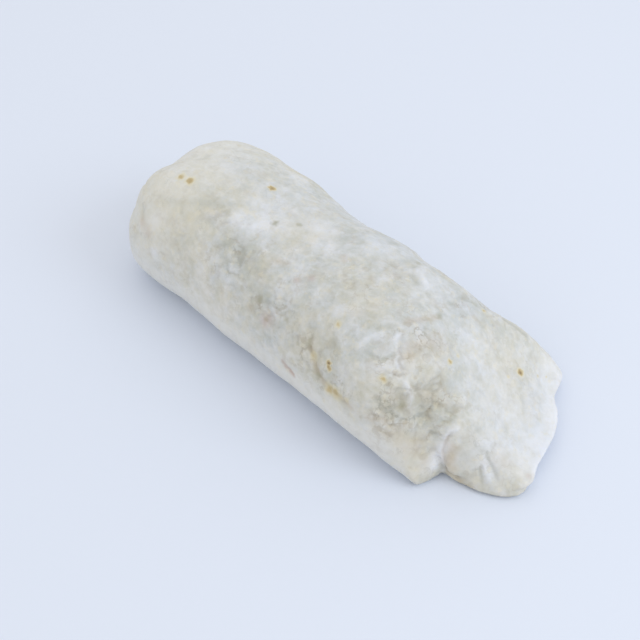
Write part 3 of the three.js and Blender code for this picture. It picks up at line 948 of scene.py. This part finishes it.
def wrinkle_shade_lines(nodes):
    """Thin dark lines here and there, where the sheet is crumpled: painted shade of fine wrinkles."""
    off_middle = nodes.math("ABSOLUTE", nodes.math("SUBTRACT", nodes.value("thread"), 0.5))
    thread = nodes.spread(off_middle, *RANGES["thread"])
    threaded = nodes.math("MULTIPLY", nodes.patch("threaded"), nodes.value("marks_and_shade"))
    return nodes.scaled(nodes.math("MULTIPLY", thread, threaded), WRINKLE_SHADE_SHARE)


def with_griddle_marks(nodes, colour):
    """Each mark has a pale halo round its brown."""
    toast = nodes.spots(TOASTED)
    colour = nodes.tint(colour, nodes.spread(toast, *RANGES["halo"]), *HALO)
    return nodes.mix(nodes.spread(toast, *RANGES["browned"]), colour, nodes.ramp(toast, BROWNS))


def tortilla_material():
    nodes = SheetNodes("steamed_flour_tortilla")
    colour = dough_colour(nodes)
    for layer, share, over in TINTS_BELOW:
        colour = nodes.tint(colour, nodes.value(layer), share, over)
    # Creases, grooves and cell seams are darkened towards grey: painted shade.
    crease_shade = nodes.pair(nodes.patch("smudge"), CREASE_SHADE)
    colour = nodes.mix(nodes.scaled(nodes.value("groove"), GROOVE_SHARE), colour, crease_shade)
    for layer, share, over in TINTS_ABOVE:
        colour = nodes.tint(colour, nodes.value(layer), share, over)
    # Thin dark lines: painted shade of fine wrinkles.
    colour = nodes.mix(wrinkle_shade_lines(nodes), colour, crease_shade)
    colour = nodes.tint(colour, nodes.patch("cream"), *CREAM)
    smear = nodes.math("MULTIPLY", nodes.patch("smear"), nodes.value("marks_and_shade"))
    colour = nodes.tint(colour, smear, *SMEAR)
    colour = nodes.tint(colour, nodes.spots(GREY_MARKS), *GREY)
    colour = with_griddle_marks(nodes, colour)

    bump = nodes.add("ShaderNodeBump")
    nodes.feed(bump, {"Strength": BUMP_STRENGTH, "Distance": BUMP_MM * MM, "Height": nodes.total(BUMPS)})
    return nodes.surface({
        "Base Color": colour,
        "Roughness": nodes.spread(nodes.value("fleck"), *RANGES["roughness"]),
        "Specular IOR Level": 0.3,
        "Subsurface Weight": 0.1,
        "Subsurface Radius": [depth * MM for depth in SCATTER_MM],
        "Subsurface Scale": 1.0,
        "Normal": bump.outputs["Normal"],
    })


# ---------------------------------------------------------------- stage and light

FLOOR_SIDE = 20.0
FLOOR_COLOUR = (220, 227, 241)
ROOM_COLOUR = (1.0, 0.995, 0.985, 1)
ROOM_STRENGTH = 0.94
WINDOW_PLACE = (0.8, 0.35, 0.7)
WINDOW_WIDTH = 0.7
WINDOW_WATTS = 2.6
WINDOW_COLOUR = (0.86, 0.93, 1.0)


def make_floor():
    half = FLOOR_SIDE / 2
    corners = [(-half, -half, 0), (half, -half, 0), (half, half, 0), (-half, half, 0)]
    mesh = bpy.data.meshes.new("floor")
    mesh.from_pydata(corners, [], [(0, 1, 2, 3)])
    floor = bpy.data.objects.new("floor", mesh)
    look = {"Base Color": srgb(*FLOOR_COLOUR), "Roughness": 0.55, "Specular IOR Level": 0.2}
    mesh.materials.append(Nodes("pale_floor").surface(look))
    bpy.context.scene.collection.objects.link(floor)


def make_light():
    world = bpy.data.worlds.new("soft_room")
    world.use_nodes = True
    background = world.node_tree.nodes["Background"]
    background.inputs["Color"].default_value = ROOM_COLOUR
    background.inputs["Strength"].default_value = ROOM_STRENGTH
    bpy.context.scene.world = world

    data = bpy.data.lights.new("window", "AREA")
    data.shape = "DISK"
    data.size = WINDOW_WIDTH
    data.energy = WINDOW_WATTS
    data.color = WINDOW_COLOUR
    window = bpy.data.objects.new("window", data)
    window.location = WINDOW_PLACE
    window.rotation_euler = (-Vector(WINDOW_PLACE)).to_track_quat("-Z", "Y").to_euler()
    bpy.context.scene.collection.objects.link(window)


bpy.context.scene.view_settings.view_transform = "Standard"

tortilla = make_tortilla()
tortilla.data.materials.clear()
tortilla.data.materials.append(tortilla_material())
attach(tortilla, "root")
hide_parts("burrito")
make_floor()
make_light()
